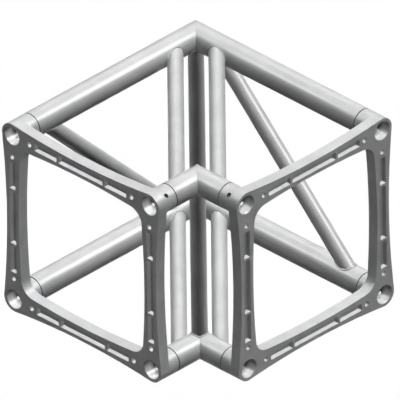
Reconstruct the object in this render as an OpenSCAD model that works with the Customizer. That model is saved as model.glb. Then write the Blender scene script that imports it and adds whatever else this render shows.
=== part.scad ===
// Two-way truss corner: a welded 90 degree box corner of square truss.
// Two cast end frames carry four chord lines that turn the corner in mitres,
// tied by corner posts, paired plan braces and one diagonal on each outer face.
// The arms run along +X and -Y, and the mitre plane is x + y = 0.

/* [Truss section] */
// Outside height and width of the square section
section = 400; // [340:5:560]
// Inside length of each arm, from the inner corner of the section to the end face
reach = 100; // [95:5:400]

/* [Tubes] */
// Outside diameter of the chord tubes and of the bosses that carry them
chord_od = 50; // [46:1:58]
// Wall of the chord tubes
chord_wall = 3; // [2:0.5:4]
// Outside diameter of the posts and braces
brace_od = 30; // [22:1:34]
// Wall of the posts and braces
brace_wall = 2.5; // [1.5:0.5:4]
// Distance between the axes of a pair of plan braces
plan_brace_pitch = 75; // [66:1:84]
// Distance along the chord from the corner axis to the near foot of a diagonal
diagonal_corner_gap = 50; // [40:1:90]
// Distance along the chord from the end face to the far foot of a diagonal
diagonal_end_gap = 75; // [70:1:140]
// Fit-up gap between a coped tube end and the chord that it is welded to
weld_gap = 0.2; // [0.1:0.05:0.3]

/* [End frame] */
// Length of a corner boss, from the end face to the seam with its chord
boss_length = 49; // [44:1:58]
// Diameter of the coupler socket in each boss
socket_d = 36; // [32:0.5:40]
// Depth of a socket, from the end face to the shoulder that stops the coupler
socket_depth = 46; // [40:1:60]
// Lead-in chamfer at the mouth of a socket
socket_lead_in = 1; // [0.5:0.25:2]
// Diameter of the hole that lightens a boss and its spigot behind the socket
relief_d = 30; // [24:1:32]
// Length of the spigot that enters the chord tube
spigot_length = 25; // [15:1:35]
// Radial clearance of the spigot in the chord tube
spigot_clearance = 0.15; // [0.05:0.05:0.3]
// Width of the groove that is left open at the seam between a boss and its chord
seam_width = 2; // [1:0.25:3]
// Height of the land, inside that groove, that the end of the chord tube butts against
seam_land = 1; // [0.5:0.25:1.5]
// Depth of the bars behind the end face
bar_depth = 22; // [18:1:26]
// Width of a bar at mid-span
bar_width = 30; // [26:1:36]
// Radius of the bowed sides of the window
window_bow_r = 1595; // [1200:5:2600]
// Fillet radius in the corners of the window
window_fillet = 30; // [20:1:40]

/* [Pockets and holes] */
// Width of the lightening pockets in the bars
pocket_width = 15; // [10:1:18]
// Thickness of the web between a front pocket and a back pocket
web = 3; // [2:0.5:6]
// Thickness of the cross ribs between the pockets of a bar
rib = 5; // [3:0.5:8]
// Diameter of the bolt holes at the ends of the bars
bolt_hole_d = 10; // [6:0.5:12]
// Distance from a boss axis to the bolt hole beside it, along the bar
bolt_inset = 45; // [40:1:55]
// Distance from a bolt hole to the end of the pockets
pocket_end_gap = 13; // [10:1:25]
// Diameter of the cross-pin holes through the bosses
pin_hole_d = 9; // [6:0.5:12]
// Land between the back of the bars and a cross-pin hole
pin_land = 0.5; // [0.5:0.25:3]

/* [Hidden] */

// Colours of the two kinds of aluminium
tube_colour = [0.80, 0.81, 0.82];
cast_colour = [0.70, 0.71, 0.72];

// Fineness of round faces, and of the long shallow arcs of the end frames
$fn = 96;
arc_fn = 1440;
// Overshoot of a cut past the face that it opens
over = 1;

// Tubes
chord_r = chord_od / 2;
brace_r = brace_od / 2;
chord_pitch = section - chord_od;
low_z = chord_r;
high_z = section - chord_r;

// Places of the chord axes: the outer corner axis is at (-outer_y, outer_y), the inner at (-inner_y, inner_y)
arm_length = section + reach;
end_x = arm_length / 2;
outer_y = end_x - chord_r;
inner_y = outer_y - chord_pitch;
seam_x = end_x - boss_length;

// End frame, seen from its front: centre of the section, bosses at the corners of a square
frame_y = outer_y - chord_pitch / 2;
frame_z = section / 2;
boss_at = chord_pitch / 2;
half_bar = bar_width / 2;
spigot_r = chord_r - chord_wall - spigot_clearance;

// Outer edge of a bar: an arc that touches both boss circles and is drawn in at mid-span
waist_r = (boss_at * boss_at + half_bar * half_bar - chord_r * chord_r) / (2 * (chord_r - half_bar));
waist_centre = boss_at + half_bar + waist_r;
waist_end_u = boss_at - chord_r * boss_at / (waist_r + chord_r);

// Window: four bowed sides with fillets that touch them
window_mid = boss_at - half_bar;
window_centre = window_bow_r - window_mid;
fillet_reach = window_bow_r - window_fillet;
fillet_at = (sqrt(2 * fillet_reach * fillet_reach - window_centre * window_centre) - window_centre) / 2;
window_end_u = window_bow_r * fillet_at / fillet_reach;

// Pockets, ribs and holes
pocket_depth = (bar_depth - web) / 2;
bolt_at = boss_at - bolt_inset;
pocket_end = bolt_at - pocket_end_gap;
rib_at = pocket_end / 2;
pin_setback = bar_depth + pin_land + pin_hole_d / 2;
pin_reach = chord_r + over;

// Keeps the +X arm as drawn, or turns it into the -Y arm by a mirror in the mitre plane
module arm_x() {
    children();
}

module arm_y() {
    mirror([1, 1, 0]) children();
}

// Everything on the -Y side of the mitre plane, which a chord of the +X arm loses, less a lap past the plane
module mitre_waste(lap = 0) {
    rotate([0, 0, 45])
        translate([-2 * arm_length - lap, -2 * arm_length, -arm_length])
            cube([2 * arm_length, 4 * arm_length, 4 * arm_length]);
}

// Room that a chord of the +X arm takes out of the tubes that meet it: its outside, grown by the fit-up gap
module chord_room(axis_y, axis_z) {
    difference() {
        translate([-axis_y - 2 * chord_r, axis_y, axis_z])
            rotate([0, 90, 0])
                cylinder(r = chord_r + weld_gap, h = end_x + axis_y + 2 * chord_r);
        mitre_waste(weld_gap);
    }
}

// Round tube along +Z, from the origin
module tube(r, wall, length) {
    difference() {
        cylinder(r = r, h = length);
        translate([0, 0, -over])
            cylinder(r = r - wall, h = length + 2 * over);
    }
}

// Chord tube of the +X arm: mitred at the corner and square where it butts against its boss
module chord(axis_y, axis_z) {
    back = -axis_y - 2 * chord_r;
    difference() {
        translate([back, axis_y, axis_z])
            rotate([0, 90, 0])
                tube(chord_r, chord_wall, seam_x - back);
        mitre_waste();
    }
}

// Length of the stock that the posts and braces are cut from
module brace_stock(length) {
    tube(brace_r, brace_wall, length);
}

// Upright post on a corner axis, coped at both ends to the mitred chords
module corner_post(axis_y) {
    difference() {
        translate([-axis_y, axis_y, low_z])
            brace_stock(chord_pitch);
        for (axis_z = [low_z, high_z]) {
            arm_x() chord_room(axis_y, axis_z);
            arm_y() chord_room(axis_y, axis_z);
        }
    }
}

// Brace of the +X arm in plan, parallel to the mitre plane, coped to the outer and the inner chord
module plan_brace(axis_z) {
    difference() {
        translate([-outer_y + plan_brace_pitch / sqrt(2), outer_y, axis_z])
            rotate([0, 90, -45])
                brace_stock(chord_pitch * sqrt(2));
        chord_room(outer_y, axis_z);
        chord_room(inner_y, axis_z);
    }
}

// Brace in the outer face of the +X arm, from the top chord near the corner down to the bottom chord
module diagonal_brace() {
    top_x = -outer_y + diagonal_corner_gap;
    foot_x = end_x - diagonal_end_gap;
    fall = atan2(foot_x - top_x, chord_pitch);
    difference() {
        translate([top_x, outer_y, high_z])
            rotate([0, 180 - fall, 0])
                brace_stock(norm([foot_x - top_x, chord_pitch]));
        chord_room(outer_y, low_z);
        chord_room(outer_y, high_z);
    }
}

// Outline of an end frame: two crossed strips with waisted edges, and a boss circle at each corner
module frame_outline() {
    for (turn = [0, 90])
        rotate(turn)
            difference() {
                square([2 * waist_end_u, section], center = true);
                for (side = [-1, 1])
                    translate([0, side * waist_centre])
                        circle(r = waist_r, $fn = arc_fn);
            }
    for (u = [-1, 1], v = [-1, 1])
        translate([u * boss_at, v * boss_at])
            circle(r = chord_r);
}

// Window of an end frame: two crossed strips with bowed ends, and a fillet circle at each corner
module frame_window() {
    for (turn = [0, 90])
        rotate(turn)
            intersection() {
                square([2 * window_end_u, section], center = true);
                translate([0, window_centre])
                    circle(r = window_bow_r, $fn = arc_fn);
                translate([0, -window_centre])
                    circle(r = window_bow_r, $fn = arc_fn);
            }
    for (u = [-1, 1], v = [-1, 1])
        translate([u * fillet_at, v * fillet_at])
            circle(r = window_fillet);
}

// Plan of the pockets along one bar: a long one in the middle and a short one past each rib
module bar_pockets() {
    middle = 2 * rib_at - rib;
    side_length = pocket_end - rib_at - rib / 2;
    square([middle, pocket_width], center = true);
    for (side = [-1, 1])
        translate([side * (pocket_end - side_length / 2), 0])
            square([side_length, pocket_width], center = true);
}

// Pockets and bolt holes of the four bars, as the shapes that are cut out of them
module bar_cuts() {
    for (turn = [0:90:270])
        rotate(turn)
            translate([0, boss_at, 0]) {
                translate([0, 0, -over])
                    linear_extrude(pocket_depth + over) bar_pockets();
                translate([0, 0, bar_depth - pocket_depth])
                    linear_extrude(pocket_depth + over) bar_pockets();
                for (side = [-1, 1])
                    translate([side * bolt_at, 0, -over])
                        cylinder(d = bolt_hole_d, h = bar_depth + 2 * over);
            }
}

// One boss with the neck that its chord tube butts against and the spigot that enters the tube
module boss() {
    cylinder(r = chord_r, h = boss_length - seam_width);
    cylinder(r = chord_r - chord_wall + seam_land, h = boss_length);
    cylinder(r = spigot_r, h = boss_length + spigot_length);
}

// Coupler socket of a boss, the relief hole behind it, and the cross-pin hole on the diagonal of the frame
module boss_cuts() {
    translate([0, 0, -over])
        cylinder(d = socket_d, h = socket_depth + over);
    cylinder(d = relief_d, h = boss_length + spigot_length + over);
    translate([0, 0, -over])
        cylinder(d1 = socket_d + 2 * (socket_lead_in + over), d2 = socket_d, h = socket_lead_in + over);
    translate([0, 0, pin_setback])
        rotate([0, 90, 45])
            translate([0, 0, -pin_reach])
                cylinder(d = pin_hole_d, h = 2 * pin_reach);
}

// End frame lying on its front face, with its back up
module flat_end_frame() {
    difference() {
        union() {
            linear_extrude(bar_depth)
                difference() {
                    frame_outline();
                    frame_window();
                }
            for (turn = [0:90:270])
                rotate(turn)
                    translate([boss_at, boss_at, 0])
                        boss();
        }
        bar_cuts();
        for (turn = [0:90:270])
            rotate(turn)
                translate([boss_at, boss_at, 0])
                    boss_cuts();
    }
}

// End frame of the +X arm, standing with its front at the end face
module end_frame() {
    translate([end_x, frame_y, frame_z])
        rotate([0, -90, 0])
            flat_end_frame();
}

module end_frame_x() { color(cast_colour) arm_x() end_frame(); }
module end_frame_y() { color(cast_colour) arm_y() end_frame(); }

module outer_top_chord_x() { color(tube_colour) arm_x() chord(outer_y, high_z); }
module outer_top_chord_y() { color(tube_colour) arm_y() chord(outer_y, high_z); }
module outer_bottom_chord_x() { color(tube_colour) arm_x() chord(outer_y, low_z); }
module outer_bottom_chord_y() { color(tube_colour) arm_y() chord(outer_y, low_z); }
module inner_top_chord_x() { color(tube_colour) arm_x() chord(inner_y, high_z); }
module inner_top_chord_y() { color(tube_colour) arm_y() chord(inner_y, high_z); }
module inner_bottom_chord_x() { color(tube_colour) arm_x() chord(inner_y, low_z); }
module inner_bottom_chord_y() { color(tube_colour) arm_y() chord(inner_y, low_z); }

module outer_corner_post() { color(tube_colour) corner_post(outer_y); }
module inner_corner_post() { color(tube_colour) corner_post(inner_y); }

module top_plan_brace_x() { color(tube_colour) arm_x() plan_brace(high_z); }
module top_plan_brace_y() { color(tube_colour) arm_y() plan_brace(high_z); }
module bottom_plan_brace_x() { color(tube_colour) arm_x() plan_brace(low_z); }
module bottom_plan_brace_y() { color(tube_colour) arm_y() plan_brace(low_z); }

module diagonal_brace_x() { color(tube_colour) arm_x() diagonal_brace(); }
// The -Y arm has its diagonal the other way up, as the corner turned over has
module diagonal_brace_y() {
    color(tube_colour)
        translate([0, 0, section])
            mirror([0, 0, 1])
                arm_y() diagonal_brace();
}

end_frame_x();
end_frame_y();
outer_top_chord_x();
outer_top_chord_y();
outer_bottom_chord_x();
outer_bottom_chord_y();
inner_top_chord_x();
inner_top_chord_y();
inner_bottom_chord_x();
inner_bottom_chord_y();
outer_corner_post();
inner_corner_post();
top_plan_brace_x();
top_plan_brace_y();
bottom_plan_brace_x();
bottom_plan_brace_y();
diagonal_brace_x();
diagonal_brace_y();
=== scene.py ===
"""Finishes a two-way truss corner: extruded tubes, cast end frames, weld beads and a plain studio."""

import math

import bmesh
import bpy
from mathutils import Matrix, Quaternion, Vector


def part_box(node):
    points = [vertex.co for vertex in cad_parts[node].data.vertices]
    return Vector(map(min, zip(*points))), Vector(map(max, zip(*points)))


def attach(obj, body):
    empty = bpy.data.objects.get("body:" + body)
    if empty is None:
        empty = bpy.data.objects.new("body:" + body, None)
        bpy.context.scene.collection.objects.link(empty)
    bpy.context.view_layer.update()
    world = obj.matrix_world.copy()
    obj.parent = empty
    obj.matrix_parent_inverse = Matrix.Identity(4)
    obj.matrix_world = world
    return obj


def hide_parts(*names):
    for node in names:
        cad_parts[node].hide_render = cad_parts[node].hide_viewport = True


bl_info = {
    "name": "Truss corner",
    "version": (1, 0, 0),
    "blender": (4, 5, 0),
    "location": "3D View > Sidebar > Truss corner",
    "description": "Builds the finished tubes, end frames and welds of a two-way truss corner",
    "category": "Object",
}

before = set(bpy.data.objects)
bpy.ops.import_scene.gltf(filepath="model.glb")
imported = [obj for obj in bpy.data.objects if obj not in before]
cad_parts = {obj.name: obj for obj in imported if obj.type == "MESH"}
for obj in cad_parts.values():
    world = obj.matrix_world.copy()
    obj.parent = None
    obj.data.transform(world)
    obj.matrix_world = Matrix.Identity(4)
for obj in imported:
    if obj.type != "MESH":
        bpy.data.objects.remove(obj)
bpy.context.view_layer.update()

BODY = "root"
MM = 0.001

# The arms end at +X and -Y, and the mitres of both corners lie in one upright plane
CORNERS = ("outer", "inner")
LEVELS = ("bottom", "top")
ARM_WAYS = {"x": Vector((1, 0, 0)), "y": Vector((0, -1, 0))}
PLAN_WAY = Vector((1, -1, 0)).normalized()
MITRE_NORMAL = Vector((1, 1, 0)).normalized()
PLAN_SIDES = {"x": Vector((0, 1, 0)), "y": Vector((1, 0, 0))}


# Sizes and lines that are read from the frame

def box_centre(node):
    """Middle of a node's box"""
    low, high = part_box(node)
    return (low + high) / 2


def box_size(node):
    """Length of a node's box along X, Y and Z"""
    low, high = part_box(node)
    return high - low


CHORD_RADIUS = box_size("outer_top_chord_x").z / 2
BRACE_RADIUS = box_size("outer_corner_post").x / 2
END_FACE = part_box("end_frame_x")[1].x
BOSS_AT = box_size("end_frame_x").z / 2 - CHORD_RADIUS


def abs_vector(vector):
    """Vector with its signs dropped"""
    return Vector([abs(value) for value in vector])


class ChordLine:
    """Axis of one chord tube, from the corner of the truss to the seam with its boss"""

    def __init__(self, node):
        centre = box_centre(node)
        arm = node[-1]
        self.way = ARM_WAYS[arm]
        across = centre.y if arm == "x" else -centre.x
        self.corner = Vector((-across, across, centre.z))
        self.seam = centre.dot(self.way) + box_size(node).dot(abs_vector(self.way)) / 2
        self.length = self.seam - self.corner.dot(self.way)

    def landing(self, point, way, radius):
        """Distance from a point, along a way, to the near side of a cylinder round this chord"""
        offset = point - self.corner
        across = offset - offset.dot(self.way) * self.way
        slope = way - way.dot(self.way) * self.way
        half = across.dot(slope)
        reach = slope.length_squared
        root = half * half - reach * (across.length_squared - radius * radius)
        return (-half - math.sqrt(root)) / reach


CHORDS = {
    f"{corner}_{level}_chord_{arm}": ChordLine(f"{corner}_{level}_chord_{arm}")
    for corner in CORNERS
    for level in LEVELS
    for arm in ARM_WAYS
}
SEAM_DEPTH = END_FACE - CHORDS["outer_top_chord_x"].seam


class BraceLine:
    """Axis of a post or brace, and the chords that it lands on at its near and far end"""

    def __init__(self, node, way, near, far):
        self.node = node
        self.centre = box_centre(node)
        self.way = way
        self.ends = ((-way, near), (way, far))
        self.turn = way.to_track_quat("Z", "Y").to_matrix()

    def cope(self, end, spot, gap):
        """Point where the tube's line through a spot of its cross-section stops at the chords of one end"""
        way, chords = self.ends[end]
        start = self.centre + self.turn @ spot
        arm = "x" if start.dot(MITRE_NORMAL) >= 0 else "y"
        chord = next((name for name in chords if name.endswith(arm)), chords[0])
        return start + way * CHORDS[chord].landing(start, way, CHORD_RADIUS + gap)


def diagonal_way(arm, corner_gap, end_gap):
    """Direction of a diagonal, away from the corner; the one of the -Y arm climbs"""
    height = box_centre("outer_top_chord_x").z - box_centre("outer_bottom_chord_x").z
    start = CHORDS[f"outer_top_chord_{arm}"].corner.dot(ARM_WAYS[arm]) + corner_gap
    run = END_FACE - end_gap - start
    rise = -height if arm == "x" else height
    return (ARM_WAYS[arm] * run + Vector((0, 0, rise))).normalized()


def brace_lines(sizes):
    """Every post and brace of the corner"""
    lines = []
    for corner in CORNERS:
        feet = [[f"{corner}_{level}_chord_{arm}" for arm in ARM_WAYS] for level in LEVELS]
        lines.append(BraceLine(f"{corner}_corner_post", Vector((0, 0, 1)), *feet))
    for arm in ARM_WAYS:
        for level in LEVELS:
            feet = [[f"{corner}_{level}_chord_{arm}"] for corner in CORNERS]
            lines.append(BraceLine(f"{level}_plan_brace_{arm}", PLAN_WAY, *feet))
        levels = reversed(LEVELS) if arm == "x" else LEVELS
        feet = [[f"outer_{level}_chord_{arm}"] for level in levels]
        way = diagonal_way(arm, sizes.diagonal_corner_gap, sizes.diagonal_end_gap)
        lines.append(BraceLine(f"diagonal_brace_{arm}", way, *feet))
    return lines


# Sizes, finishes and stage values that a user would change

class TubeSizes(bpy.types.PropertyGroup):
    chord_wall: bpy.props.FloatProperty(
        name="Chord wall",
        description="Wall of the chord tubes",
        default=3 * MM,
        unit="LENGTH",
    )
    brace_wall: bpy.props.FloatProperty(
        name="Brace wall",
        description="Wall of the posts and braces",
        default=2.5 * MM,
        unit="LENGTH",
    )
    fit_up_gap: bpy.props.FloatProperty(
        name="Fit-up gap",
        description="Gap between a coped tube end and its chord",
        default=0.2 * MM,
        unit="LENGTH",
    )
    diagonal_corner_gap: bpy.props.FloatProperty(
        name="Diagonal corner gap",
        description="Distance along the chord from the corner axis to the near foot of a diagonal",
        default=50 * MM,
        unit="LENGTH",
    )
    diagonal_end_gap: bpy.props.FloatProperty(
        name="Diagonal end gap",
        description="Distance along the chord from the end face to the far foot of a diagonal",
        default=75 * MM,
        unit="LENGTH",
    )
    rim_round: bpy.props.FloatProperty(
        name="Rim rounding",
        description="Rounding of the rim of a chord tube at the seam with its boss",
        default=0.5 * MM,
        unit="LENGTH",
    )
    chord_sides: bpy.props.IntProperty(
        name="Chord sides",
        description="Faces round a chord tube",
        default=128,
    )
    brace_sides: bpy.props.IntProperty(
        name="Brace sides",
        description="Faces round a post or brace",
        default=96,
    )


class CastingSizes(bpy.types.PropertyGroup):
    bar_depth: bpy.props.FloatProperty(
        name="Bar depth",
        description="Depth of the bars behind the end face",
        default=22 * MM,
        unit="LENGTH",
    )
    pocket_width: bpy.props.FloatProperty(
        name="Pocket width",
        description="Width of the pockets in the bars",
        default=15 * MM,
        unit="LENGTH",
    )
    web: bpy.props.FloatProperty(
        name="Web",
        description="Thickness of the web between the front and back pockets",
        default=3 * MM,
        unit="LENGTH",
    )
    socket_radius: bpy.props.FloatProperty(
        name="Socket radius",
        description="Radius of the coupler socket in each boss",
        default=18 * MM,
        unit="LENGTH",
    )
    # Painted shade: from this depth the sockets are painted darker, from the bore's colour towards the
    # recess shade
    shade_start_depth: bpy.props.FloatProperty(
        name="Bright depth",
        description="Depth in the sockets up to which the bore is clean and bright",
        default=13 * MM,
        unit="LENGTH",
    )
    # Painted shade: from this depth the sockets are painted fully in the dark recess shade
    shade_full_depth: bpy.props.FloatProperty(
        name="Dull depth",
        description="Depth in the sockets from which the bore is dull and dirty",
        default=24 * MM,
        unit="LENGTH",
    )
    edge_round: bpy.props.FloatProperty(
        name="Edge rounding",
        description="Rounding of the edges of an end frame",
        default=0.8 * MM,
        unit="LENGTH",
    )
    sharp_angle: bpy.props.FloatProperty(
        name="Sharp angle",
        description="Edges that bend more than this are rounded",
        default=math.radians(35),
        subtype="ANGLE",
    )


class WeldSizes(bpy.types.PropertyGroup):
    brace_bead: bpy.props.FloatProperty(
        name="Brace bead",
        description="Radius of the weld bead round a coped tube end",
        default=2.2 * MM,
        unit="LENGTH",
    )
    mitre_bead: bpy.props.FloatProperty(
        name="Mitre bead",
        description="Radius of the weld bead round a chord mitre",
        default=2 * MM,
        unit="LENGTH",
    )
    mitre_sink: bpy.props.FloatProperty(
        name="Mitre sink",
        description="How far the mitre bead is sunk below the tube's surface",
        default=1.4 * MM,
        unit="LENGTH",
    )
    ripple_pitch: bpy.props.FloatProperty(
        name="Ripple pitch",
        description="Distance between the ripples of a bead",
        default=3 * MM,
        unit="LENGTH",
    )
    ripple_depth: bpy.props.FloatProperty(
        name="Ripple depth",
        description="Depth of the ripples as a share of the bead's radius",
        default=0.12,
        subtype="FACTOR",
    )


class Finishes(bpy.types.PropertyGroup):
    mill_colour: bpy.props.FloatVectorProperty(
        name="Mill finish",
        description="Colour of the extruded tubes",
        default=(0.5, 0.505, 0.51),
        subtype="COLOR",
    )
    cast_colour: bpy.props.FloatVectorProperty(
        name="Cast finish",
        description="Colour of the cast end frames",
        default=(0.445, 0.45, 0.455),
        subtype="COLOR",
    )
    weld_colour: bpy.props.FloatVectorProperty(
        name="Weld metal",
        description="Colour of the weld beads",
        default=(0.48, 0.485, 0.49),
        subtype="COLOR",
    )
    bore_colour: bpy.props.FloatVectorProperty(
        name="Machined bore",
        description="Colour of the machined sockets",
        default=(0.55, 0.555, 0.56),
        subtype="COLOR",
    )
    # Painted shade: near black, painted in the pin holes and deep in the sockets
    recess_shade_colour: bpy.props.FloatVectorProperty(
        name="Recess",
        description="Colour of the dirt in the pin holes and deep in the sockets",
        default=(0.03, 0.03, 0.032),
        subtype="COLOR",
    )
    # Painted shade: dark grey, painted in the seam grooves between bosses and tubes
    seam_shade_colour: bpy.props.FloatVectorProperty(
        name="Seam",
        description="Colour of the dirt in the seams between bosses and tubes",
        default=(0.1, 0.1, 0.102),
        subtype="COLOR",
    )
    mill_sheen: bpy.props.FloatProperty(
        name="Mill sheen",
        description="Level of the mirrored light on the tubes and welds",
        default=0.2,
        subtype="FACTOR",
    )
    cast_sheen: bpy.props.FloatProperty(
        name="Cast sheen",
        description="Level of the mirrored light on the castings",
        default=0.24,
        subtype="FACTOR",
    )
    bore_polish: bpy.props.FloatProperty(
        name="Bore polish",
        description="How much smoother the machined sockets are than the rest of the castings",
        default=0.15,
        subtype="FACTOR",
    )


class StageValues(bpy.types.PropertyGroup):
    azimuth: bpy.props.FloatProperty(
        name="Azimuth",
        description="Direction of the camera round the corner",
        default=math.radians(45.08),
        subtype="ANGLE",
    )
    elevation: bpy.props.FloatProperty(
        name="Elevation",
        description="Height of the camera above the horizon",
        default=math.radians(31.95),
        subtype="ANGLE",
    )
    roll: bpy.props.FloatProperty(
        name="Roll",
        description="Turn of the camera about its own axis",
        default=math.radians(-0.82),
        subtype="ANGLE",
    )
    aim: bpy.props.FloatVectorProperty(
        name="Aim",
        description="Point in the middle of the picture",
        default=(-67.6 * MM, 73.0 * MM, 159.4 * MM),
        subtype="TRANSLATION",
        unit="LENGTH",
    )
    picture_width: bpy.props.FloatProperty(
        name="Picture width",
        description="Width that the parallel view shows",
        default=725.4 * MM,
        unit="LENGTH",
    )
    floor_colour: bpy.props.FloatVectorProperty(
        name="Floor colour",
        description="Colour of the floor as it is seen",
        default=(0.96, 0.96, 0.96),
        subtype="COLOR",
    )
    floor_bounce: bpy.props.FloatVectorProperty(
        name="Floor bounce",
        description="Colour of the floor as it lights the corner from below",
        default=(0.02, 0.02, 0.02),
        subtype="COLOR",
    )
    soft: bpy.props.FloatProperty(
        name="Soft light",
        description="Strength of the main light from behind, on the right",
        default=2.55,
    )
    fill: bpy.props.FloatProperty(
        name="Fill light",
        description="Strength of the weaker light from the front, on the left",
        default=0.92,
    )
    overhead: bpy.props.FloatProperty(
        name="Overhead light",
        description="Strength of the broad light from above that casts the shadow",
        default=0.4,
    )
    ceiling: bpy.props.FloatProperty(
        name="Ceiling light",
        description="Strength of the wide light above that is only seen mirrored in the metal",
        default=20,
    )
    streak: bpy.props.FloatProperty(
        name="Main streak",
        description="Strength of the small light on the right that only draws streaks on the tubes",
        default=11.1,
    )
    fill_streak: bpy.props.FloatProperty(
        name="Fill streak",
        description="Strength of the small light on the left that only draws streaks on the tubes",
        default=4.1,
    )


# Mesh helpers

SMOOTH_ANGLE = math.radians(30)
RIM_TOLERANCE = 1 * MM
BEVEL_SEGMENTS = 2
BEAD_SIDES = 10
STEPS_PER_RIPPLE = 6


def spin_profile(bm, profile, steps):
    """Closed ring of the given radius and height points, turned once round Z"""
    corners = [bm.verts.new((radius, 0, height)) for radius, height in profile]
    sides = [bm.edges.new(pair) for pair in zip(corners, corners[1:] + corners[:1])]
    bmesh.ops.spin(
        bm,
        geom=corners + sides,
        cent=(0, 0, 0),
        axis=(0, 0, 1),
        angle=math.tau,
        steps=steps,
        use_merge=True,
    )
    bmesh.ops.recalc_face_normals(bm, faces=bm.faces)


def make_piece(name, bm, finish, nodes=()):
    """Object of a finished mesh, shaded smooth between its sharp edges, that stands for some nodes

    It scatters no light onto its neighbours, so its undersides and sockets stay dark.
    """
    mesh = bpy.data.meshes.new(name)
    bm.to_mesh(mesh)
    bm.free()
    mesh.polygons.foreach_set("use_smooth", [True] * len(mesh.polygons))
    mesh.set_sharp_from_angle(angle=SMOOTH_ANGLE)
    mesh.materials.append(finish)
    piece = bpy.data.objects.new(name, mesh)
    bpy.context.collection.objects.link(piece)
    piece.visible_diffuse = False
    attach(piece, BODY)
    if nodes:
        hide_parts(*nodes)
    return piece


def round_edges(bm, edges, offset):
    """Small rounding along some edges"""
    bmesh.ops.bevel(
        bm,
        geom=edges,
        offset=offset,
        offset_type="OFFSET",
        segments=BEVEL_SEGMENTS,
        profile=0.5,
        affect="EDGES",
        material=-1,
        clamp_overlap=True,
    )


def chord_tube(chord, sizes):
    """Tube that is cut in the mitre plane at the corner and square at the seam"""
    bm = bmesh.new()
    back = -2 * CHORD_RADIUS
    inside = CHORD_RADIUS - sizes.chord_wall
    profile = [
        (inside, back),
        (CHORD_RADIUS, back),
        (CHORD_RADIUS, chord.length),
        (inside, chord.length),
    ]
    spin_profile(bm, profile, sizes.chord_sides)

    def on_rim(vert):
        return vert.co.z > chord.length - RIM_TOLERANCE and vert.co.xy.length > inside + RIM_TOLERANCE

    rim = [edge for edge in bm.edges if all(on_rim(vert) for vert in edge.verts)]
    round_edges(bm, rim, sizes.rim_round)
    turn = chord.way.to_track_quat("Z", "Y").to_matrix().to_4x4()
    bmesh.ops.transform(bm, matrix=Matrix.Translation(chord.corner) @ turn, verts=bm.verts)
    waste_way = -MITRE_NORMAL if chord.way.x else MITRE_NORMAL
    cut = bmesh.ops.bisect_plane(
        bm,
        geom=list(bm.verts) + list(bm.edges) + list(bm.faces),
        plane_co=chord.corner,
        plane_no=waste_way,
        clear_outer=True,
    )
    loops = [item for item in cut["geom_cut"] if isinstance(item, bmesh.types.BMEdge)]
    bmesh.ops.bridge_loops(bm, edges=loops)
    bmesh.ops.recalc_face_normals(bm, faces=bm.faces)
    return bm


def brace_tube(line, sizes):
    """Tube whose two ends, at the heights 0 and 1 at first, are drawn out onto their chords"""
    bm = bmesh.new()
    inside = BRACE_RADIUS - sizes.brace_wall
    profile = [(inside, 0), (BRACE_RADIUS, 0), (BRACE_RADIUS, 1), (inside, 1)]
    spin_profile(bm, profile, sizes.brace_sides)
    for vert in bm.verts:
        spot = Vector((vert.co.x, vert.co.y, 0))
        vert.co = line.cope(round(vert.co.z), spot, sizes.fit_up_gap)
    return bm


def bead_ring(bm, radius, bead, sizes, place):
    """Rippled bead, made as a level ring; place says where a point beside a spot of the ring goes"""
    ripples = round(math.tau * radius / sizes.ripple_pitch)
    stand = Matrix.Translation((radius, 0, 0)) @ Matrix.Rotation(math.pi / 2, 4, "X")
    section = bmesh.ops.create_circle(bm, segments=BEAD_SIDES, radius=bead, matrix=stand)["verts"]
    sides = list({edge for vert in section for edge in vert.link_edges})
    known = set(bm.verts) - set(section)
    bmesh.ops.spin(
        bm,
        geom=section + sides,
        cent=(0, 0, 0),
        axis=(0, 0, 1),
        angle=math.tau,
        steps=ripples * STEPS_PER_RIPPLE,
        use_merge=True,
    )
    ring = [vert for vert in bm.verts if vert not in known]
    faces = {face for vert in ring for face in vert.link_faces}
    bmesh.ops.recalc_face_normals(bm, faces=list(faces))
    for vert in ring:
        angle = math.atan2(vert.co.y, vert.co.x)
        spot = Vector((math.cos(angle), math.sin(angle), 0)) * radius
        swell = 1 - sizes.ripple_depth * abs(math.sin(angle * ripples / 2))
        vert.co = place(spot, (vert.co - spot) * swell)


# Finishes

# Darkest and lightest share of each finish's colour
MILL_TINTS = (0.88, 1.08)
CAST_TINTS = (0.86, 1.1)
# Painted shade: the webs deep in the pockets are painted darker than the faces
WEB_SHADE_TINTS = (0.68, 0.9)
BORE_TINTS = (0.85, 1.1)
WELD_TINTS = (0.8, 1.05)

# Length of the die lines against their width
DIE_LINE_STRETCH = 90

# How far paint reaches past the edge that it follows, and how far the painted seam shade reaches back from
# a seam
PAINT_EDGE = 0.3 * MM
SEAM_SHADE_REACH = 5 * MM


def new_node(tree, kind, **inputs):
    """Shader node whose named inputs are constants or the output sockets of other nodes"""
    node = tree.nodes.new(kind)
    for name, value in inputs.items():
        connect(tree, value, node.inputs[name.replace("_", " ").title()])
    return node


def connect(tree, value, socket):
    """Links an output to a socket, or sets the socket to a constant"""
    if isinstance(value, bpy.types.NodeSocket):
        tree.links.new(value, socket)
    else:
        socket.default_value = value


def compute(tree, operation, *terms):
    """Number worked out from constants and the outputs of other nodes"""
    node = tree.nodes.new("ShaderNodeMath")
    node.operation = operation
    for term, socket in zip(terms, node.inputs):
        connect(tree, term, socket)
    return node.outputs["Value"]


def along(tree, place, way):
    """Coordinate of the piece in one direction"""
    node = tree.nodes.new("ShaderNodeVectorMath")
    node.operation = "DOT_PRODUCT"
    connect(tree, place, node.inputs[0])
    connect(tree, way, node.inputs[1])
    return node.outputs["Value"]


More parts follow.
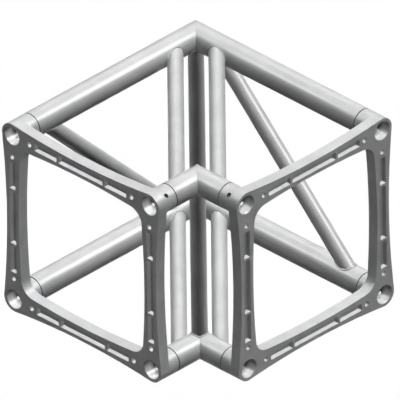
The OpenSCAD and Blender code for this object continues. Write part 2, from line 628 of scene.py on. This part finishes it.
def noise(tree, place, scale, detail, roughness=0.5):
    """Cloudy number between 0 and 1, with about as many clouds to the metre as its scale"""
    values = {"Vector": place, "Scale": scale, "Detail": detail, "Roughness": roughness}
    return new_node(tree, "ShaderNodeTexNoise", **values).outputs["Fac"]


def spread(tree, factor, low, high, start=0, end=1):
    """Number that runs from low to high while the factor runs from start to end"""
    values = {"Value": factor, "From Min": start, "From Max": end, "To Min": low, "To Max": high}
    return new_node(tree, "ShaderNodeMapRange", **values).outputs["Result"]


def shade(tree, factor, dark, light):
    """Colour that runs from dark to light with a factor; each is a colour or another node's output"""
    mix = tree.nodes.new("ShaderNodeMix")
    mix.data_type = "RGBA"
    connect(tree, factor, mix.inputs[0])
    for colour, socket in ((dark, mix.inputs[6]), (light, mix.inputs[7])):
        connect(tree, colour if isinstance(colour, bpy.types.NodeSocket) else (*colour, 1), socket)
    return mix.outputs[2]


def tinted(tree, factor, colour, tints):
    """Colour that runs with a factor between two shares of itself"""
    dark, light = ([channel * share for channel in colour] for share in tints)
    return shade(tree, factor, dark, light)


def new_finish(name, sheen):
    """Empty material with its surface shader and the coordinates of the piece"""
    material = bpy.data.materials.new(name)
    material.use_nodes = True
    tree = material.node_tree
    surface = tree.nodes["Principled BSDF"]
    surface.inputs["Specular IOR Level"].default_value = sheen
    place = tree.nodes.new("ShaderNodeTexCoord").outputs["Object"]
    return material, tree, surface, place


def roughen(tree, surface, height, strength, depth):
    """Fine relief that is too small for the mesh"""
    bump = new_node(tree, "ShaderNodeBump", Strength=strength, Distance=depth, Height=height)
    tree.links.new(bump.outputs["Normal"], surface.inputs["Normal"])


def mill_finish(name, way, finishes, seam=None):
    """Extruded aluminium: die lines along the tube over a faint cloudy oxide, and painted shade on its end
    in the seam groove
    """
    material, tree, surface, place = new_finish(name, finishes.mill_sheen)
    turn = tree.nodes.new("ShaderNodeMapping")
    turn.vector_type = "TEXTURE"
    turn.inputs["Rotation"].default_value = way.to_track_quat("X", "Z").to_euler()
    turn.inputs["Scale"].default_value = (DIE_LINE_STRETCH, 1, 1)
    connect(tree, place, turn.inputs["Vector"])
    lines = noise(tree, turn.outputs["Vector"], scale=520, detail=4, roughness=0.65)
    cloud = noise(tree, place, scale=22, detail=3)
    blend = spread(tree, compute(tree, "MULTIPLY", lines, cloud), low=0, high=1, start=0.1, end=0.4)
    tint = tinted(tree, blend, finishes.mill_colour, MILL_TINTS)
    if seam is not None:
        # Painted shade: the tube's end face in the seam groove is painted dark
        joint = compute(tree, "GREATER_THAN", along(tree, place, way), seam - PAINT_EDGE)
        tint = shade(tree, joint, tint, finishes.seam_shade_colour)
    connect(tree, tint, surface.inputs["Base Color"])
    connect(tree, spread(tree, lines, low=0.45, high=0.33), surface.inputs["Roughness"])
    roughen(tree, surface, lines, strength=0.12, depth=0.05 * MM)
    return material


def bar_offsets(tree, place, arm):
    """Distances from the middle lines of the nearest upright and the nearest level bar of an end frame"""
    middle = box_centre(f"end_frame_{arm}")
    offsets = []
    for way in (PLAN_SIDES[arm], Vector((0, 0, 1))):
        offset = compute(tree, "SUBTRACT", along(tree, place, way), middle.dot(way))
        fold = compute(tree, "SUBTRACT", compute(tree, "ABSOLUTE", offset), BOSS_AT)
        offsets.append(compute(tree, "ABSOLUTE", fold))
    return offsets


def boss_distance(tree, offsets):
    """Distance from the nearest boss axis, where the middle lines of two bars cross"""
    squares = [compute(tree, "POWER", offset, 2) for offset in offsets]
    return compute(tree, "SQRT", compute(tree, "ADD", *squares))


def overlap(tree, *masks):
    """Mask that holds where every one of the masks does"""
    whole = masks[0]
    for mask in masks[1:]:
        whole = compute(tree, "MULTIPLY", whole, mask)
    return whole


def cast_finish(name, arm, finishes, sizes):
    """Cast aluminium: fine grain, machined sockets, and painted shade on the pocket webs, deep in the
    sockets, in the pin holes and in the seam grooves
    """
    material, tree, surface, place = new_finish(name, finishes.cast_sheen)
    grain = noise(tree, place, scale=420, detail=5, roughness=0.6)
    cloud = noise(tree, place, scale=30, detail=4)
    blend = spread(tree, compute(tree, "MULTIPLY", grain, cloud), low=0, high=1, start=0.12, end=0.38)
    tint = tinted(tree, blend, finishes.cast_colour, CAST_TINTS)
    depth = compute(tree, "SUBTRACT", END_FACE, along(tree, place, ARM_WAYS[arm]))
    offsets = bar_offsets(tree, place, arm)
    distance = boss_distance(tree, offsets)

    # Painted shade on the webs in the pockets, away from the bosses
    web_offset = compute(tree, "ABSOLUTE", compute(tree, "SUBTRACT", depth, sizes.bar_depth / 2))
    at_web = compute(tree, "LESS_THAN", web_offset, sizes.web / 2 + PAINT_EDGE)
    bar_offset = compute(tree, "MINIMUM", *offsets)
    in_pocket = compute(tree, "LESS_THAN", bar_offset, sizes.pocket_width / 2 + PAINT_EDGE)
    off_boss = compute(tree, "GREATER_THAN", distance, 2 * CHORD_RADIUS)
    pocket_shade = tinted(tree, blend, finishes.cast_colour, WEB_SHADE_TINTS)
    tint = shade(tree, overlap(tree, at_web, in_pocket, off_boss), tint, pocket_shade)

    bore = tinted(tree, grain, finishes.bore_colour, BORE_TINTS)
    # Painted shade: the sockets get darker with depth, to near black deep inside
    darkened = spread(tree, depth, low=0, high=1, start=sizes.shade_start_depth, end=sizes.shade_full_depth)
    bore = shade(tree, darkened, bore, finishes.recess_shade_colour)
    socket = compute(tree, "LESS_THAN", distance, sizes.socket_radius + PAINT_EDGE)
    tint = shade(tree, socket, tint, bore)

    # Painted shade: the pin holes and the seam groove, inside the boss behind the bars, are painted dark
    seam = compute(tree, "GREATER_THAN", depth, SEAM_DEPTH - SEAM_SHADE_REACH)
    painted_shade = shade(tree, seam, finishes.recess_shade_colour, finishes.seam_shade_colour)
    behind = compute(tree, "GREATER_THAN", depth, sizes.bar_depth + PAINT_EDGE)
    inside = compute(tree, "LESS_THAN", distance, CHORD_RADIUS - sizes.edge_round)
    outside_socket = compute(tree, "SUBTRACT", 1, socket)
    tint = shade(tree, overlap(tree, behind, inside, outside_socket), tint, painted_shade)

    connect(tree, tint, surface.inputs["Base Color"])
    polish = compute(tree, "MULTIPLY", socket, finishes.bore_polish)
    rough = compute(tree, "SUBTRACT", spread(tree, grain, low=0.38, high=0.5), polish)
    connect(tree, rough, surface.inputs["Roughness"])
    roughen(tree, surface, grain, strength=0.5, depth=0.2 * MM)
    return material


def weld_finish(name, finishes):
    """Weld metal: a slightly dull, etched colour"""
    material, tree, surface, place = new_finish(name, finishes.mill_sheen)
    cloud = noise(tree, place, scale=240, detail=3)
    connect(tree, tinted(tree, cloud, finishes.weld_colour, WELD_TINTS), surface.inputs["Base Color"])
    connect(tree, spread(tree, cloud, low=0.32, high=0.5), surface.inputs["Roughness"])
    return material


# Pieces of the corner

MERGE_DISTANCE = 0.01 * MM
FLAT_ANGLE = math.radians(0.2)


class TRUSS_OT_chord_tubes(bpy.types.Operator):
    """Builds the eight chord tubes, mitred at the corners"""

    bl_idname = "truss.chord_tubes"
    bl_label = "Chord tubes"

    def execute(self, context):
        sizes = context.scene.truss_tubes
        finishes = context.scene.truss_finishes
        for node, chord in CHORDS.items():
            bm = chord_tube(chord, sizes)
            metal = mill_finish(f"{node}_mill", chord.way, finishes, chord.seam)
            make_piece(f"{node}_tube", bm, metal, [node])
        return {"FINISHED"}


class TRUSS_OT_posts_and_braces(bpy.types.Operator):
    """Builds the corner posts, the plan braces and the diagonals, coped to the chords"""

    bl_idname = "truss.posts_and_braces"
    bl_label = "Posts and braces"

    def execute(self, context):
        sizes = context.scene.truss_tubes
        finishes = context.scene.truss_finishes
        for line in brace_lines(sizes):
            bm = brace_tube(line, sizes)
            metal = mill_finish(f"{line.node}_mill", line.way, finishes)
            make_piece(f"{line.node}_tube", bm, metal, [line.node])
        return {"FINISHED"}


class TRUSS_OT_end_frames(bpy.types.Operator):
    """Rounds the edges of the two cast end frames"""

    bl_idname = "truss.end_frames"
    bl_label = "End frames"

    def execute(self, context):
        sizes = context.scene.truss_castings
        for arm in ARM_WAYS:
            node = f"end_frame_{arm}"
            metal = cast_finish(f"{node}_cast", arm, context.scene.truss_finishes, sizes)
            bm = bmesh.new()
            bm.from_mesh(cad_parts[node].data)
            bmesh.ops.remove_doubles(bm, verts=bm.verts, dist=MERGE_DISTANCE)
            bmesh.ops.dissolve_limit(bm, angle_limit=FLAT_ANGLE, verts=bm.verts, edges=bm.edges)
            sharp = [edge for edge in bm.edges if edge.calc_face_angle(0) > sizes.sharp_angle]
            round_edges(bm, sharp, sizes.edge_round)
            piece = make_piece(f"{node}_casting", bm, metal, [node])
            piece.modifiers.new("even_shading", "WEIGHTED_NORMAL").keep_sharp = True
        return {"FINISHED"}


class TRUSS_OT_weld_beads(bpy.types.Operator):
    """Lays the weld beads round the coped tube ends and the chord mitres"""

    bl_idname = "truss.weld_beads"
    bl_label = "Weld beads"

    def execute(self, context):
        sizes = context.scene.truss_welds
        metal = weld_finish("weld_metal", context.scene.truss_finishes)
        for line in brace_lines(context.scene.truss_tubes):
            bm = bmesh.new()
            for end in (0, 1):
                def on_cope(spot, offset):
                    return line.cope(end, spot, 0) + line.turn @ offset

                bead_ring(bm, BRACE_RADIUS, sizes.brace_bead, sizes, on_cope)
            make_piece(f"{line.node}_welds", bm, metal)
        for corner in CORNERS:
            for level in LEVELS:
                self.mitre_weld(f"{corner}_{level}", sizes, metal)
        return {"FINISHED"}

    def mitre_weld(self, name, sizes, metal):
        """Bead round one mitre, dressed flat where the corner stands on it"""
        chord = CHORDS[f"{name}_chord_x"]
        turn = chord.way.to_track_quat("Z", "Y").to_matrix()

        def on_mitre(spot, offset):
            start = chord.corner + turn @ spot
            slide = -start.dot(MITRE_NORMAL) / chord.way.dot(MITRE_NORMAL)
            point = start + chord.way * slide + turn @ offset
            point.z = max(point.z, 0)
            return point

        bm = bmesh.new()
        bead_ring(bm, CHORD_RADIUS - sizes.mitre_sink, sizes.mitre_bead, sizes, on_mitre)
        make_piece(f"{name}_mitre_weld", bm, metal)


# Stage

FLOOR_REACH = 10
FLOOR_ROUGHNESS = 0.9
CAMERA_DISTANCE = 2
FRONT_LEFT = (-0.26, -0.34, 0.90)

# Direction, and width in degrees, of each lamp
# The first three light the surfaces, and the others are only seen mirrored in them
LAMPS = {
    "soft": {"way": (0.38, 0.43, 0.82), "width": 20, "mirrored": False},
    "fill": {"way": FRONT_LEFT, "width": 40, "mirrored": False},
    "overhead": {"way": FRONT_LEFT, "width": 40, "mirrored": False, "shadow": True},
    "ceiling": {"way": (-0.09, 0.14, 0.99), "width": 106, "scattered": False},
    "streak": {"way": (0.49, 0.42, 0.76), "width": 18, "scattered": False},
    "fill_streak": {"way": (-0.42, -0.51, 0.75), "width": 8, "scattered": False},
}


def seen_or_mirrored(tree):
    """Factor that is 1 for rays from the camera, reflections and glass, and 0 for scattered light"""
    path = tree.nodes.new("ShaderNodeLightPath").outputs
    either = compute(tree, "MAXIMUM", path["Is Camera Ray"], path["Is Glossy Ray"])
    return compute(tree, "MAXIMUM", either, path["Is Transmission Ray"])


def make_floor(values):
    """Wide white floor that keeps the shadow but throws little light back"""
    bm = bmesh.new()
    bmesh.ops.create_grid(bm, x_segments=1, y_segments=1, size=FLOOR_REACH)
    mesh = bpy.data.meshes.new("floor")
    bm.to_mesh(mesh)
    bm.free()
    material = bpy.data.materials.new("floor_paint")
    material.use_nodes = True
    tree = material.node_tree
    surface = tree.nodes["Principled BSDF"]
    surface.inputs["Roughness"].default_value = FLOOR_ROUGHNESS
    surface.inputs["Specular IOR Level"].default_value = 0
    paint = shade(tree, seen_or_mirrored(tree), values.floor_bounce, values.floor_colour)
    connect(tree, paint, surface.inputs["Base Color"])
    mesh.materials.append(material)
    floor = bpy.data.objects.new("floor", mesh)
    bpy.context.collection.objects.link(floor)


def add_sun(name, strength, way, width, shadow=False, scattered=True, mirrored=True):
    """Far light from a direction; its width sets how soft its shadow and its streak are

    Without multiple importance sampling, a lamp with no shadow shows in the sockets and pockets too.
    """
    lamp = bpy.data.lights.new(name, "SUN")
    lamp.energy = strength
    lamp.angle = math.radians(width)
    lamp.use_shadow = shadow
    lamp.cycles.use_multiple_importance_sampling = shadow
    sun = bpy.data.objects.new(name, lamp)
    sun.rotation_mode = "QUATERNION"
    sun.rotation_quaternion = Vector(way).to_track_quat("Z", "Y")
    sun.visible_diffuse = scattered
    sun.visible_glossy = mirrored
    bpy.context.collection.objects.link(sun)


def make_world():
    """White surroundings for the camera and reflections, which light nothing themselves"""
    world = bpy.data.worlds.new("studio")
    world.use_nodes = True
    tree = world.node_tree
    sky = tree.nodes["Background"]
    sky.inputs["Color"].default_value = (1, 1, 1, 1)
    connect(tree, seen_or_mirrored(tree), sky.inputs["Strength"])
    bpy.context.scene.world = world


def make_camera(values):
    """Parallel view from the photograph's angle"""
    level = math.cos(values.elevation)
    back = Vector((
        math.sin(values.azimuth) * level,
        -math.cos(values.azimuth) * level,
        math.sin(values.elevation),
    ))
    lens = bpy.data.cameras.new("camera")
    lens.type = "ORTHO"
    lens.ortho_scale = values.picture_width
    camera = bpy.data.objects.new("camera", lens)
    camera.rotation_mode = "QUATERNION"
    camera.rotation_quaternion = back.to_track_quat("Z", "Y") @ Quaternion((0, 0, 1), values.roll)
    camera.location = Vector(values.aim) + back * CAMERA_DISTANCE
    bpy.context.collection.objects.link(camera)
    bpy.context.scene.camera = camera


class TRUSS_OT_stage(bpy.types.Operator):
    """Sets up the floor, the studio light and the camera"""

    bl_idname = "truss.stage"
    bl_label = "Stage"

    def execute(self, context):
        values = context.scene.truss_stage
        make_floor(values)
        make_world()
        for name, setup in LAMPS.items():
            add_sun(name, getattr(values, name), **setup)
        make_camera(values)
        context.scene.view_settings.view_transform = "Standard"
        return {"FINISHED"}


PIECE_OPERATORS = (
    TRUSS_OT_chord_tubes,
    TRUSS_OT_posts_and_braces,
    TRUSS_OT_end_frames,
    TRUSS_OT_weld_beads,
    TRUSS_OT_stage,
)

VALUE_GROUPS = {
    "truss_tubes": TubeSizes,
    "truss_castings": CastingSizes,
    "truss_welds": WeldSizes,
    "truss_finishes": Finishes,
    "truss_stage": StageValues,
}


class TRUSS_PT_corner(bpy.types.Panel):
    """Lists the steps that build the truss corner"""

    bl_idname = "TRUSS_PT_corner"
    bl_label = "Truss corner"
    bl_space_type = "VIEW_3D"
    bl_region_type = "UI"
    bl_category = "Truss corner"

    def draw(self, context):
        for step in PIECE_OPERATORS:
            self.layout.operator(step.bl_idname)


def register():
    for name, group in VALUE_GROUPS.items():
        bpy.utils.register_class(group)
        setattr(bpy.types.Scene, name, bpy.props.PointerProperty(type=group))
    for step in PIECE_OPERATORS:
        bpy.utils.register_class(step)
    bpy.utils.register_class(TRUSS_PT_corner)


def unregister():
    bpy.utils.unregister_class(TRUSS_PT_corner)
    for step in reversed(PIECE_OPERATORS):
        bpy.utils.unregister_class(step)
    for name, group in reversed(VALUE_GROUPS.items()):
        delattr(bpy.types.Scene, name)
        bpy.utils.unregister_class(group)


def main():
    register()
    bpy.ops.truss.chord_tubes()
    bpy.ops.truss.posts_and_braces()
    bpy.ops.truss.end_frames()
    bpy.ops.truss.weld_beads()
    bpy.ops.truss.stage()


if __name__ == "__main__":
    main()
